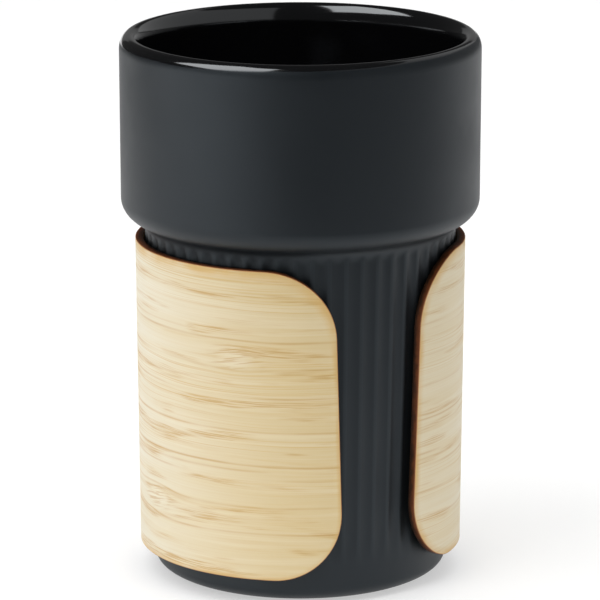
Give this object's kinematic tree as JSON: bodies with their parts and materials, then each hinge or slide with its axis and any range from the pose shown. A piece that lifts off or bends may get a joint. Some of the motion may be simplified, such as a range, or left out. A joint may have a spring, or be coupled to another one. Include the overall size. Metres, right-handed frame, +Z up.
{
  "type": "ceramic tumbler with bamboo sleeve",
  "caption": "Open ceramic tumbler with a smooth wide band over a fluted tapering body, gripped by a bent bamboo sleeve that is open at the front and slides off.",
  "frame": {"origin": "centre of the foot ring on the table, on the cup's axis", "axes": "+Z up along the cup's axis, -Y towards the open front of the sleeve"},
  "size_m": [0.0838, 0.084, 0.128],
  "materials": {
    "charcoal_glaze": "satin charcoal glaze outside, gloss black inside and over the rim, bare clay under the foot ring",
    "bamboo": "pale clear-sealed bamboo with fine grain round the cup and scorched brown laser-cut edges"
  },
  "bodies": {
    "sleeve": {"bamboo_sleeve": "bamboo"},
    "cup": {"ceramic_cup": "charcoal_glaze"}
  },
  "joints": [
    {"name": "cup_lift", "type": "slide", "parent": "sleeve", "child": "cup", "axis": [0, 0, 1], "range_m": [-0.003, 0.085]}
  ]
}
